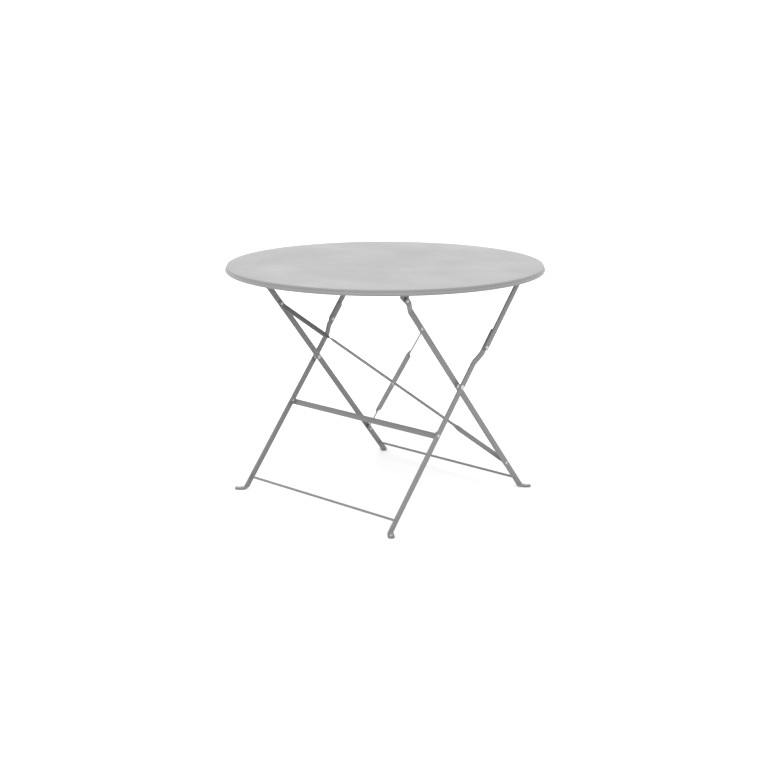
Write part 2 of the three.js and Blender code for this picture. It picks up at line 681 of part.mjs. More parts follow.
// The pressed sheet in two nodes that meet where its corner starts to turn down: a flat panel, and a rim
// with a flange that is rolled inwards round a wire. Heights are below the top's surface.
const PANEL_RADIUS = TOP_RADIUS - FLANGE_INSET - CORNER_RADIUS;
const CURL_AT = TOP_RADIUS - CURL_RADIUS;
const CURL_HEIGHT = CURL_RADIUS - RIM_DEPTH;

function panelProfile() {
  const edge = PANEL_RADIUS - CLEARANCE;
  return [[0, 0], [edge, 0], [edge, -SHEET], [0, -SHEET]];
}

function rimProfile() {
  const flangeInside = TOP_RADIUS - FLANGE_INSET - SHEET;
  const curlInside = CURL_RADIUS - SHEET;
  const innerStart = THREE.MathUtils.radToDeg(Math.acos((flangeInside - CURL_AT) / curlInside));
  return [
    ...arc(PANEL_RADIUS, -CORNER_RADIUS, CORNER_RADIUS, 90, 0, 4),
    ...arc(CURL_AT, CURL_HEIGHT, CURL_RADIUS, CURL_START, CURL_END, CURL_STEPS),
    ...arc(CURL_AT, CURL_HEIGHT, curlInside, CURL_END, innerStart, CURL_STEPS),
    ...arc(PANEL_RADIUS, -CORNER_RADIUS, CORNER_RADIUS - SHEET, 0, 90, 4),
  ];
}

// Channel along Y, open upwards against the sheet.
function railGeometry() {
  const width = RAIL_OUTSIDE_X - RAIL_INSIDE_X;
  const half = width / 2;
  const shape = new THREE.Shape([
    new THREE.Vector2(-half, 0),
    new THREE.Vector2(-half, -RAIL_DEPTH),
    new THREE.Vector2(half, -RAIL_DEPTH),
    new THREE.Vector2(half, 0),
    new THREE.Vector2(half - RAIL_WALL, 0),
    new THREE.Vector2(half - RAIL_WALL, RAIL_WALL - RAIL_DEPTH),
    new THREE.Vector2(RAIL_WALL - half, RAIL_WALL - RAIL_DEPTH),
    new THREE.Vector2(RAIL_WALL - half, 0),
  ]);
  const length = 2 * TOP_RADIUS * RAIL_SHARE;
  const geometry = new THREE.ExtrudeGeometry(shape, { depth: length, bevelEnabled: false });
  geometry.translate(0, 0, -length / 2);
  geometry.rotateX(Math.PI / 2);
  return toGeometry(toManifold(geometry));
}

// Plate that hangs from a rail and narrows to a round nose about its hinge, which is at the origin.
// It narrows late on the side away from the table's middle, and early on the side where its bar folds.
function bracketGeometry(drop, outward) {
  const top = drop - SHEET - 2 * CLEARANCE;
  const halfTop = BRACKET_TOP_WIDTH / 2;
  const heel = new THREE.Vector2(-halfTop, BRACKET_HEEL);
  const shoulder = new THREE.Vector2(halfTop, top - RAIL_DEPTH / 2);
  const fromHeel = heel.angle() + Math.acos(BRACKET_NOSE_RADIUS / heel.length());
  const toShoulder = shoulder.angle() - Math.acos(BRACKET_NOSE_RADIUS / shoulder.length());
  const outline = new THREE.Shape();
  outline.moveTo(halfTop, top);
  outline.lineTo(-halfTop, top);
  outline.lineTo(heel.x, heel.y);
  outline.absarc(0, 0, BRACKET_NOSE_RADIUS, fromHeel, toShoulder + 2 * Math.PI, false);
  outline.lineTo(shoulder.x, shoulder.y);
  const radius = HINGE_RIVET.shank + CLEARANCE;
  const hole = { at: new THREE.Vector3(), along: X_AXIS, radius, depth: BAR_WIDTH };
  const bracket = drill(plateGeometry(outline, BRACKET_THICKNESS), [hole]);
  return outward > 0 ? bracket.rotateZ(Math.PI) : bracket;
}

function tabletopGroup() {
  const top = new THREE.Group();
  top.name = 'top_assembly';
  top.position.z = TOP_HEIGHT;
  top.add(piece('tabletop', lathe(panelProfile(), RIM_SEGMENTS), TOP_PAINT));
  top.add(piece('tabletop_rim', lathe(rimProfile(), RIM_SEGMENTS), TOP_PAINT));
  const wire = arc(CURL_AT, CURL_HEIGHT, WIRE_RADIUS, 0, 360 - 45, 7);
  top.add(piece('rim_wire', lathe(wire, RIM_SEGMENTS), PAINT));

  const topHingeY = -UPPER_LEG * Math.sin(LEAN);
  const linkHingeY = LINK_HINGE_REACH * Math.sin(LEAN);
  for (const [sideName, side] of Object.entries(SIDES)) {
    const rail = piece(`rail_${sideName}`, railGeometry(), PAINT);
    rail.position.set(side * (RAIL_INSIDE_X + RAIL_OUTSIDE_X) / 2, 0, -SHEET - CLEARANCE);
    top.add(rail);

    const topBracket = piece(`top_bracket_${sideName}`, bracketGeometry(TOP_HINGE_DROP, -1), PAINT);
    topBracket.position.set(side * TOP_BRACKET_X, topHingeY, -TOP_HINGE_DROP);
    top.add(topBracket);
    const linkBracket = piece(`link_bracket_${sideName}`, bracketGeometry(LINK_HINGE_DROP, 1), PAINT);
    linkBracket.position.set(side * LINK_BRACKET_X, linkHingeY, -LINK_HINGE_DROP);
    top.add(linkBracket);

    const topInside = TOP_BRACKET_X - BRACKET_THICKNESS / 2;
    const topOutside = TOP_HINGE_X + LEG_FACE;
    const topRivet = crossRivet(
      `top_hinge_rivet_${sideName}`, HINGE_RIVET, side, topInside, topOutside, -TOP_HINGE_DROP);
    topRivet.position.y = topHingeY;
    top.add(topRivet);
    const linkInside = LINK_BRACKET_X - BRACKET_THICKNESS / 2;
    const linkOutside = LINK_X + LEG_FACE;
    const linkRivet = crossRivet(
      `link_hinge_rivet_${sideName}`, HINGE_RIVET, side, linkInside, linkOutside, -LINK_HINGE_DROP);
    linkRivet.position.y = linkHingeY;
    top.add(linkRivet);
  }
  return top;
}

// ---- Assembly ----

const bistroTable = new THREE.Group();
bistroTable.name = 'bistro_table';
bistroTable.add(innerFrame());
bistroTable.add(outerFrame());
bistroTable.add(tabletopGroup());
bistroTable.add(linkGroup('left'));
bistroTable.add(linkGroup('right'));

export default bistroTable;
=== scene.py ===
"""Looks of a round folding bistro table: powder-coated flat steel bar under a pressed steel top.

Metres, +Z up, the same axes as the CAD frame. Every visible piece is rebuilt here with rounded edges
and smooth bends, and rides on the CAD body that it belongs to.
"""

import math

import bmesh
import bpy
from mathutils import Matrix, Vector


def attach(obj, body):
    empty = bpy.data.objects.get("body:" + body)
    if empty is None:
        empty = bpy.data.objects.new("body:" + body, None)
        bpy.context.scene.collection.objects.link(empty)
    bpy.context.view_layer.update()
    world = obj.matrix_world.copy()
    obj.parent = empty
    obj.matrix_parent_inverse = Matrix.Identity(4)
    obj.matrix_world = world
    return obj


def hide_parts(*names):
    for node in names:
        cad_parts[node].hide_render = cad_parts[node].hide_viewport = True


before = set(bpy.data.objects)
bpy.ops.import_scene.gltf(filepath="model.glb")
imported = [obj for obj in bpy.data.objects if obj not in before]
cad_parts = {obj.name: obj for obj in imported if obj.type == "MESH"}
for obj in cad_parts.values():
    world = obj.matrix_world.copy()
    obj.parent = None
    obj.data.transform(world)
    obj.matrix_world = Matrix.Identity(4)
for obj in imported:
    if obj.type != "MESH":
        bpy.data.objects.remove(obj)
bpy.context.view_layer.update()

MM = 0.001

# ---- Overall sizes, the same as the CAD part's ----
TOP_HEIGHT = 710 * MM
TOP_RADIUS = 480 * MM
FOOT_REACH = TOP_RADIUS * 0.6458
INNER_X = TOP_RADIUS * 0.6104
PIVOT_HEIGHT = TOP_HEIGHT * 0.531

# ---- Bars, strips and fits ----
BAR_WIDTH = 18 * MM
BAR_THICKNESS = 5 * MM
STRIP_THICKNESS = 3 * MM
CLEARANCE = 0.3 * MM
SLIP = 0.5 * MM
BAR_EDGE = 0.8 * MM
STRIP_EDGE = 0.6 * MM
SMALL_EDGE = 0.4 * MM
SEATED = 0.05 * MM

# ---- Tabletop, its rolled rim drawn a little crisper than the CAD's ----
SHEET = 1.2 * MM
RIM_DEPTH = 17 * MM
CORNER_RADIUS = 3 * MM
CURL_RADIUS = 5 * MM
WIRE_RADIUS = 2.6 * MM
FLANGE_INSET = 3.2 * MM
CURL_START = 68
CURL_END = -228
RIM_SEGMENTS = 288
RIPPLE = 0.22 * MM

# ---- Rails and brackets ----
RAIL_DEPTH = 14 * MM
RAIL_WALL = 1.5 * MM
RAIL_FOLD = 1 * MM
RAIL_LENGTH = 2 * 0.667 * TOP_RADIUS
BRACKET_THICKNESS = 3 * MM
BRACKET_TOP_WIDTH = 45 * MM
BRACKET_NOSE_RADIUS = 8 * MM
BRACKET_HEEL = 9 * MM
TOP_HINGE_DROP = 46.4 * MM
LINK_HINGE_DROP = 27.8 * MM

# ---- Joggles in the legs ----
INNER_JOGGLE = 13.5 * MM
INNER_JOGGLE_START = 44 * MM
INNER_JOGGLE_END = 12.5 * MM
OUTER_JOGGLE = 11.9 * MM
OUTER_JOGGLE_START = 56 * MM
OUTER_JOGGLE_END = 22 * MM
OUTER_LEG_TAIL = 62 * MM
JOGGLE_BEND = 3 * MM

# ---- Feet ----
TOE_LENGTH = 28 * MM
TOE_RIVET_AT = 15 * MM
TOE_BEND_RADIUS = 5.5 * MM
GLIDE_THICKNESS = 1.2 * MM
GLIDE_MARGIN = 0.7 * MM

# ---- Rods, cross bar and braces ----
ROD_RADIUS = 3.75 * MM
ROD_SHARE = 0.906
CROSS_BAR_SHARE = 0.336
BRACE_TOP_SHARE = 0.68
BRACE_BOTTOM_SHARE = 0.752
BRACE_WIDTH = 15 * MM
BRACE_TAB = 22 * MM
TWIST_START = 150 * MM
TWIST_LENGTH = 40 * MM
TWIST_STEPS = 22
TAB_BEND_RADIUS = 6 * MM

# ---- Spacers ----
SPACER_LENGTH = 10 * MM
SPACER_RADIUS = 8 * MM
SPACER_BORE = 4.3 * MM

# ---- Rivets: head radius and dome height ----
PIVOT_RIVET = (7 * MM, 3.5 * MM)
HINGE_RIVET = (5.5 * MM, 3 * MM)
SMALL_RIVET = (4.5 * MM, 2 * MM)
ROUND_SEGMENTS = 40

# ---- Studio ----
FLOOR_SIZE = 40
FLOOR_TONE = 0.78
WORLD_STRENGTH = 1.7
KEY_PLACE = (2.4, -3.7, 4.6)
KEY_TARGET = (0, 0, 0.35)
KEY_SIZE = (5.0, 4.0)
KEY_POWER = 170
CAMERA_PLACE = (2.9666, -3.1326, 1.3739)
CAMERA_DOWN = 0.2362
CAMERA_ROUND = 0.759
CAMERA_LENS = 67.65

# ---- Derived sizes ----
LEAN = math.atan2(FOOT_REACH, PIVOT_HEIGHT)
LOWER_LEG = PIVOT_HEIGHT / math.cos(LEAN)
UPPER_LEG = (TOP_HEIGHT - TOP_HINGE_DROP - PIVOT_HEIGHT) / math.cos(LEAN)
LINK_HINGE_REACH = (TOP_HEIGHT - LINK_HINGE_DROP - PIVOT_HEIGHT) / math.cos(LEAN)
LINK_SUM = UPPER_LEG + LINK_HINGE_REACH
LINK_PRODUCT = 2 * UPPER_LEG * LINK_HINGE_REACH * (1 + math.cos(2 * LEAN))
LINK_PIVOT = (LINK_SUM - math.sqrt(LINK_SUM ** 2 - LINK_PRODUCT)) / 2
OUTER_X = INNER_X + BAR_THICKNESS + SPACER_LENGTH + 2 * CLEARANCE
LINK_X = OUTER_X + OUTER_JOGGLE + BAR_THICKNESS + SLIP
TOP_HINGE_X = INNER_X + INNER_JOGGLE
LEG_HALF = BAR_WIDTH / 2
LEG_FACE = BAR_THICKNESS / 2
TOE_LEVEL = GLIDE_THICKNESS + CLEARANCE + LEG_FACE
TOP_BRACKET_X = TOP_HINGE_X - LEG_FACE - CLEARANCE - BRACKET_THICKNESS / 2
LINK_BRACKET_X = LINK_X - LEG_FACE - CLEARANCE - BRACKET_THICKNESS / 2
RAIL_INSIDE_X = TOP_BRACKET_X + BRACKET_THICKNESS / 2 + CLEARANCE
RAIL_OUTSIDE_X = LINK_BRACKET_X - BRACKET_THICKNESS / 2 - CLEARANCE
BRACE_X = INNER_X - LEG_FACE - CLEARANCE - STRIP_THICKNESS / 2
BRACE_TOP = UPPER_LEG * BRACE_TOP_SHARE
BRACE_BOTTOM = -LOWER_LEG * BRACE_BOTTOM_SHARE
BRACE_HALF = BRACE_WIDTH / 2

SIDES = {"left": -1, "right": 1}
X_AXIS = Vector((1, 0, 0))
Y_AXIS = Vector((0, 1, 0))
Z_AXIS = Vector((0, 0, 1))

# Each frame is built upright about its pivots and then leaned over, like the CAD frames.
INNER_PLACE = Matrix.Translation((0, 0, PIVOT_HEIGHT)) @ Matrix.Rotation(LEAN, 4, "X")
OUTER_PLACE = Matrix.Translation((0, 0, PIVOT_HEIGHT)) @ Matrix.Rotation(-LEAN, 4, "X")
TOP_PLACE = Matrix.Translation((0, 0, TOP_HEIGHT))


# ---- Mesh building ----

def new_piece(name, mesh_data, place, body, material, nodes):
    """Makes an object from a bmesh, seats it in the world and ties it to its CAD body and nodes."""
    mesh_data.transform(place)
    bmesh.ops.recalc_face_normals(mesh_data, faces=mesh_data.faces)
    mesh = bpy.data.meshes.new(name)
    mesh_data.to_mesh(mesh)
    mesh_data.free()
    mesh.shade_smooth()
    piece = bpy.data.objects.new(name, mesh)
    bpy.context.scene.collection.objects.link(piece)
    mesh.materials.append(material)
    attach(piece, body)
    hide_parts(*nodes)
    return piece


def soften(piece, angle=35):
    """Keeps flat faces flat where a piece has sharp corners."""
    piece.data.set_sharp_from_angle(angle=math.radians(angle))


def painted_piece(name, solid, place, body, angle=35):
    """A piece of the frame, which stands in for the CAD node of the same name."""
    soften(new_piece(name + "_visual", solid, place, body, FRAME_PAINT, [name]), angle)


def rivet_piece(name, solid, place, body):
    """A rivet's heads or a spacer, which stand in for the CAD node of the same name, in a pale colour that
    paints in the glints on the rivet heads.
    """
    soften(new_piece(name + "_visual", solid, place, body, RIVET_PAINTED_HIGHLIGHT, [name]))


def section(half_width, half_thickness, edge):
    """Rounded rectangle round a bar, as (share along the width, share along the thickness) offsets."""
    points = []
    for corner_x, corner_y, first in ((1, 1, 0), (-1, 1, 90), (-1, -1, 180), (1, -1, 270)):
        for step in range(4):
            angle = math.radians(first + 30 * step)
            points.append((
                corner_x * (half_width - edge) + edge * math.cos(angle),
                corner_y * (half_thickness - edge) + edge * math.sin(angle),
            ))
    return points


def sweep(stations, thickness, edge):
    """Solid of a flat bar through (centre, across, normal, half width) stations, closed at both ends."""
    solid = bmesh.new()
    rings = []
    for centre, across, normal, half in stations:
        round_edge = min(edge, 0.6 * half)
        ring = [
            solid.verts.new(centre + across * (x / half) + normal * y)
            for x, y in section(half, thickness / 2, round_edge)
        ]
        rings.append(ring)
    for ring, following in zip(rings, rings[1:]):
        count = len(ring)
        for k in range(count):
            after = (k + 1) % count
            solid.faces.new((ring[k], ring[after], following[after], following[k]))
    solid.faces.new(rings[0])
    solid.faces.new(list(reversed(rings[-1])))
    return solid


def station(centre, across, normal):
    return centre, across, normal, across.length


def round_end(centre, outward, across, normal, steps=9):
    """Stations that round off a bar's end, going out from the last full-width place."""
    radius = across.length
    made = []
    for step in range(1, steps + 1):
        angle = math.radians(86 * step / steps)
        made.append(station(
            centre + outward * (radius * math.sin(angle)),
            across * math.cos(angle),
            normal,
        ))
    return made


def revolve(profile, segments):
    """Turns (radius, height) points about Z. Points on the axis become one vertex."""
    solid = bmesh.new()
    rings = []
    for radius, height in profile:
        if radius < 1e-7:
            rings.append([solid.verts.new((0, 0, height))] * segments)
            continue
        ring = []
        for k in range(segments):
            angle = 2 * math.pi * k / segments
            ring.append(solid.verts.new((radius * math.cos(angle), radius * math.sin(angle), height)))
        rings.append(ring)
    closed = profile[0][0] > 1e-7
    pairs = list(zip(rings, rings[1:])) + ([(rings[-1], rings[0])] if closed else [])
    for ring, following in pairs:
        for k in range(segments):
            after = (k + 1) % segments
            corners = [ring[k], ring[after], following[after], following[k]]
            distinct = list(dict.fromkeys(corners))
            if len(distinct) > 2:
                solid.faces.new(distinct)
    return solid


def arc(radius, height, size, start, end, steps):
    """(radius, height) points on an arc, with angles in degrees."""
    points = []
    for step in range(steps + 1):
        angle = math.radians(start + (end - start) * step / steps)
        points.append((radius + size * math.cos(angle), height + size * math.sin(angle)))
    return points


def prism(outline, thickness, edge):
    """Plate with its outline in the YZ plane, centred on x = 0, with softened edges."""
    solid = bmesh.new()
    near = [solid.verts.new((-thickness / 2, y, z)) for y, z in outline]
    far = [solid.verts.new((thickness / 2, y, z)) for y, z in outline]
    solid.faces.new(list(reversed(near)))
    solid.faces.new(far)
    count = len(outline)
    for k in range(count):
        after = (k + 1) % count
        solid.faces.new((near[k], near[after], far[after], far[k]))
    bmesh.ops.recalc_face_normals(solid, faces=solid.faces)
    rims = [e for e in solid.edges if e.calc_face_angle(0) > math.radians(40)]
    bmesh.ops.bevel(solid, geom=rims, offset=edge, segments=3, profile=0.5, affect="EDGES")
    return solid


# ---- Materials ----

class NodeTree:
    """Small helper that adds shader nodes and links them by name."""

    def __init__(self, name):
        self.material = bpy.data.materials.new(name)
        self.material.use_nodes = True
        self.tree = self.material.node_tree
        self.shader = self.tree.nodes["Principled BSDF"]

    def add(self, kind, **values):
        node = self.tree.nodes.new(kind)
        for key, value in values.items():
            if key in node.inputs:
                node.inputs[key].default_value = value
            else:
                setattr(node, key, value)
        return node

    def link(self, source, output, target, socket):
        self.tree.links.new(source.outputs[output], target.inputs[socket])


def noise(nodes, place, scale, detail):
    made = nodes.add("ShaderNodeTexNoise", Scale=scale, Detail=detail)
    nodes.link(place, "Object", made, "Vector")
    return made


def spread(nodes, source, low, high):
    """Maps a noise value onto a narrow range."""
    made = nodes.add("ShaderNodeMapRange")
    made.inputs["From Min"].default_value = 0.3
    made.inputs["From Max"].default_value = 0.7
    made.inputs["To Min"].default_value = low
    made.inputs["To Max"].default_value = high
    nodes.link(source, 0, made, "Value")
    return made


def powder_coat(name, colour, roughness, peel, sheen_spread=0.05):
    """Satin powder coat: orange peel, faint cloudiness in colour and gloss, and paler worn edges."""
    nodes = NodeTree(name)
    place = nodes.add("ShaderNodeTexCoord")
    cloud = noise(nodes, place, 5.0, 3.0)
    grain = noise(nodes, place, 260.0, 2.0)
    fine = noise(nodes, place, 900.0, 2.0)

    tone = nodes.add("ShaderNodeMixRGB")
    tone.inputs["Color1"].default_value = (*[c * 0.965 for c in colour], 1)
    tone.inputs["Color2"].default_value = (*[min(1, c * 1.03) for c in colour], 1)
    nodes.link(spread(nodes, cloud, 0, 1), 0, tone, "Fac")

    shape = nodes.add("ShaderNodeNewGeometry")
    edges = nodes.add("ShaderNodeMapRange")
    edges.inputs["From Min"].default_value = 0.52
    edges.inputs["From Max"].default_value = 0.62
    edges.inputs["To Max"].default_value = 0.35
    nodes.link(shape, "Pointiness", edges, "Value")
    worn = nodes.add("ShaderNodeMath", operation="MULTIPLY")
    nodes.link(edges, 0, worn, 0)
    nodes.link(spread(nodes, grain, 0.2, 1), 0, worn, 1)
    edge_tone = nodes.add("ShaderNodeMixRGB")
    edge_tone.inputs["Color2"].default_value = (*[min(1, c * 1.12) for c in colour], 1)
    nodes.link(worn, 0, edge_tone, "Fac")
    nodes.link(tone, 0, edge_tone, "Color1")
    nodes.link(edge_tone, 0, nodes.shader, "Base Color")

    nodes.link(spread(nodes, cloud, roughness - sheen_spread, roughness + sheen_spread), 0,
               nodes.shader, "Roughness")
    coarse = nodes.add("ShaderNodeBump", Strength=peel, Distance=0.0004)
    nodes.link(grain, 0, coarse, "Height")
    small = nodes.add("ShaderNodeBump", Strength=peel * 0.6, Distance=0.00012)
    nodes.link(fine, 0, small, "Height")
    nodes.link(coarse, 0, small, "Normal")
    nodes.link(small, 0, nodes.shader, "Normal")
    nodes.shader.inputs["Metallic"].default_value = 0.0
    nodes.shader.inputs["Specular IOR Level"].default_value = 0.5
    return nodes.material


def plastic(name, colour, roughness):
    """Moulded plastic with a fine spark-eroded grain."""
    nodes = NodeTree(name)
    place = nodes.add("ShaderNodeTexCoord")
    grain = noise(nodes, place, 1500.0, 2.0)
    cloud = noise(nodes, place, 40.0, 2.0)
    tone = nodes.add("ShaderNodeMixRGB")
    tone.inputs["Color1"].default_value = (*[c * 0.95 for c in colour], 1)
    tone.inputs["Color2"].default_value = (*colour, 1)
    nodes.link(spread(nodes, cloud, 0, 1), 0, tone, "Fac")
    nodes.link(tone, 0, nodes.shader, "Base Color")
    nodes.link(spread(nodes, cloud, roughness - 0.06, roughness + 0.06), 0, nodes.shader, "Roughness")
    bump = nodes.add("ShaderNodeBump", Strength=0.4, Distance=0.00008)
    nodes.link(grain, 0, bump, "Height")
    nodes.link(bump, 0, nodes.shader, "Normal")
    return nodes.material


FRAME_PAINT = powder_coat("frame_powder_coat", (0.138, 0.138, 0.138), 0.42, 0.25)
# The top uses the frame's paint made about a tenth paler. This is painted light for the brightly lit top,
# not a different paint.
TOP_PAINTED_LIGHT = powder_coat("top_coat_with_painted_light", (0.153, 0.153, 0.153), 0.4, 0.22)
# Rivets and spacers are coloured far paler than the frame. This is a painted highlight standing in for the
# bright glints on the rivet heads.
RIVET_PAINTED_HIGHLIGHT = powder_coat("rivet_coat_painted_highlight", (0.4, 0.4, 0.4), 0.28, 0.1)
GLIDE = plastic("glide_plastic", (0.13, 0.13, 0.13), 0.6)


# ---- Legs ----

def toe_stations(x, side, lean):
    """The leg's own end, folded outboard about a line along the floor, from the toe's tip upward."""
    slope = math.tan(LEAN)
    bend_start = TOE_LEVEL + TOE_BEND_RADIUS
    fold_across = Vector((0, LEG_HALF / math.cos(LEAN), 0))
    along = Vector((side * math.cos(LEAN), lean * math.sin(LEAN), 0))
    across = Vector((-side * lean * math.sin(LEAN), math.cos(LEAN), 0)) * LEG_HALF
    made = []
    for step in range(13):
        angle = math.radians(7.5 * step)
        centre = Vector((
            side * TOE_BEND_RADIUS * (1 - math.cos(angle)),
            lean * slope * (TOE_BEND_RADIUS * angle - bend_start),
            TOE_LEVEL + TOE_BEND_RADIUS * (1 - math.sin(angle)),
        ))
        normal = Vector((side * math.cos(angle), 0, math.sin(angle)))
        made.append(station(centre, fold_across, normal))
    fold = made[-1][0]
    for share in (0.5, 1.0):
        blend = fold_across.lerp(across, share)
        made.append(station(fold + along * (share * (LEG_HALF * slope + MM)), blend, Z_AXIS))
    full = fold + along * (TOE_LENGTH - LEG_HALF)
    made.append(station(full, across, Z_AXIS))
    made += round_end(full, along, across, Z_AXIS)
    turn = Matrix.Rotation(-lean * LEAN, 3, "X")
    floor_point = Vector((side * x, 0, -LOWER_LEG))
    return [
        station(turn @ centre + floor_point, turn @ across, turn @ normal)
        for centre, across, normal, _ in reversed(made)
    ]


def toe_point(side, lean, distance):
    """A point on the toe, level with the floor's axes, from where the leg's line meets the floor."""
    run = lean * math.tan(LEAN) * (TOE_BEND_RADIUS * math.pi / 2 - TOE_LEVEL - TOE_BEND_RADIUS)
    along = Vector((side * math.cos(LEAN), lean * math.sin(LEAN), 0))
    return Vector((side * TOE_BEND_RADIUS, run, 0)) + along * distance


def joggle_stations(x, side, offset, start, end, across):
    """Two soft bends that carry a leg sideways between two heights."""
    slope = Vector((side * offset, 0, end - start)).normalized()
    made = []
    for corner, before, after in (
        (Vector((side * x, 0, start)), Z_AXIS, slope),
        (Vector((side * (x + offset), 0, end)), slope, Z_AXIS),
    ):
        for step in range(7):
            share = step / 6
            direction = before.lerp(after, share).normalized()
            leg_in = corner - before * (JOGGLE_BEND * (1 - share) ** 2)
            centre = leg_in + after * (JOGGLE_BEND * share ** 2)
            normal = Vector((direction.z, 0, -direction.x)) * side
            made.append(station(centre, across, normal))
    return made


def leg(name, x, side, lean, joggle, top, place, body):
    across = Vector((0, LEG_HALF, 0))
    outboard = Vector((side, 0, 0))
    offset, start, end = joggle
    full = Vector((side * (x + offset), 0, top - LEG_HALF))
    lower = Vector((side * x, 0, -LOWER_LEG + 3 * LEG_HALF))
    stations = (
        toe_stations(x, side, lean)
        + [station(lower, across, outboard)]
        + joggle_stations(x, side, offset, start, end, across)
        + [station(full, across, outboard)]
        + round_end(full, Z_AXIS, across, outboard)
    )
    painted_piece(name, sweep(stations, BAR_THICKNESS, BAR_EDGE), place, body)


def glide(frame_name, side_name, x, lean, place, body):
    """Plastic pad under a toe."""
    side = SIDES[side_name]
    half = LEG_HALF + GLIDE_MARGIN
    start = toe_point(side, lean, LEG_HALF * 0.4)
    end = toe_point(side, lean, TOE_LENGTH - LEG_HALF)
    along = (end - start).normalized()
    across = Vector((-along.y, along.x, 0)) * half
    middle = Z_AXIS * (GLIDE_THICKNESS / 2)
    stations = [station(start + middle, across, Z_AXIS), station(end + middle, across, Z_AXIS)]
    stations += round_end(end + middle, along, across, Z_AXIS)
    leg_end = Matrix.Translation((side * x, 0, -LOWER_LEG))
    floor_place = place @ leg_end @ Matrix.Rotation(-lean * LEAN, 4, "X")
    node = f"{frame_name}_glide_{side_name}"
    solid = sweep(stations, GLIDE_THICKNESS, SMALL_EDGE)
    soften(new_piece(node + "_visual", solid, floor_place, body, GLIDE, [node]))

    rivet_at = toe_point(side, lean, TOE_RIVET_AT)
    rivet_at.z = TOE_LEVEL + LEG_FACE - SEATED
    head = rivet_head(SMALL_RIVET)
    head.transform(Matrix.Translation(rivet_at))
    rivet_piece(f"{frame_name}_toe_rivet_{side_name}", head, floor_place, body)


# ---- Rivets, rods and spacers ----

def head_profile(size):
    radius, dome = size
    profile = [(0, dome)]
    for step in range(1, 9):
        angle = math.radians(90 * step / 8)
        profile.append((radius * math.sin(angle), dome * (0.22 + 0.78 * math.cos(angle))))
    profile += [(radius - 0.15 * MM, 0.05 * MM), (radius - 0.3 * MM, 0), (0, 0)]
    return profile


def rivet_head(size):
    """Domed head standing on z = 0."""
    return revolve(head_profile(size), ROUND_SEGMENTS)


def two_heads(size, inside, outside):
    """Two heads along X, facing apart, seated on the faces at inside and outside."""
    made = bmesh.new()
    for position, turn in ((outside, math.pi / 2), (inside, -math.pi / 2)):
        head = rivet_head(size)
        head.transform(Matrix.Translation((position, 0, 0)) @ Matrix.Rotation(turn, 4, "Y"))
        copy_into(head, made)
    return made


def copy_into(source, target):
    made = {v: target.verts.new(v.co) for v in source.verts}
    for face in source.faces:
        target.faces.new([made[v] for v in face.verts])
    source.free()


def cross_rivet(name, size, side, inside, outside, height, place, body, run=0.0):
    """A rivet through two bars, its heads on their outer faces."""
    solid = two_heads(size, inside + SEATED, outside - SEATED)
    if side < 0:
        solid.transform(Matrix.Rotation(math.pi, 4, "Z"))
    solid.transform(Matrix.Translation((0, run, height)))
    rivet_piece(name, solid, place, body)


def rod(name, x, place, body):
    """Round rod between two legs, with its peened ends outside them."""
    shoulder = x - LEG_FACE - CLEARANCE / 2
    profile = [(0, shoulder), (ROD_RADIUS - 0.3 * MM, shoulder), (ROD_RADIUS, shoulder - 0.3 * MM)]
    profile += [(radius, -height) for radius, height in reversed(profile)]
    solid = revolve(profile, ROUND_SEGMENTS)
    solid.transform(Matrix.Rotation(math.pi / 2, 4, "Y"))
    copy_into(two_heads(SMALL_RIVET, -x - LEG_FACE + SEATED, x + LEG_FACE - SEATED), solid)
    solid.transform(Matrix.Translation((0, 0, -LOWER_LEG * ROD_SHARE)))
    painted_piece(name, solid, place, body)


def spacer(name, side, place, body):
    half = SPACER_LENGTH / 2 + CLEARANCE / 2
    narrow = SPACER_RADIUS - SMALL_EDGE
    short = half - SMALL_EDGE
    profile = [(SPACER_BORE, -half), (narrow, -half), (SPACER_RADIUS, -short)]
    profile += [(SPACER_RADIUS, short), (narrow, half), (SPACER_BORE, half)]
    solid = revolve(profile, ROUND_SEGMENTS)
    between_legs = Matrix.Translation((side * (INNER_X + OUTER_X) / 2, 0, 0))
    solid.transform(between_legs @ Matrix.Rotation(math.pi / 2, 4, "Y"))
    rivet_piece(name, solid, place, body)


# ---- Braces ----

def brace_half(side, layer):
    """Stations from a brace's upper tab to the end of its upper twist, and the middle of its span."""
    upper = Vector((side * BRACE_X, 0, BRACE_TOP - BRACE_TAB / 2))
    lower = Vector((-side * BRACE_X, 0, BRACE_BOTTOM + BRACE_TAB / 2))
    along = (lower - upper).normalized()
    on_edge = Vector((0, BRACE_HALF, 0))
    flat = Y_AXIS.cross(along) * BRACE_HALF
    down = -Z_AXIS
    tab_end = upper + Z_AXIS * (BRACE_TAB - BRACE_HALF)
    tab_normal = on_edge.cross(down).normalized()
    stations = list(reversed(round_end(tab_end, Z_AXIS, on_edge, tab_normal)))
    stations.append(station(tab_end, on_edge, tab_normal))
    for step in range(9):
        share = step / 8
        direction = down.lerp(along, share).normalized()
        centre = upper - down * (TAB_BEND_RADIUS * (1 - share) ** 2) + along * (TAB_BEND_RADIUS * share ** 2)
        stations.append(station(centre, on_edge, on_edge.cross(direction).normalized()))
    for step in range(TWIST_STEPS + 1):
        share = step / TWIST_STEPS
        eased = share * share * (3 - 2 * share)
        angle = eased * math.pi / 2
        across = on_edge * math.cos(angle) + flat * math.sin(angle)
        centre = upper + along * (TWIST_START + share * TWIST_LENGTH)
        centre.y = layer * eased
        stations.append(station(centre, across, across.cross(along).normalized()))
    return stations, (upper + lower) / 2


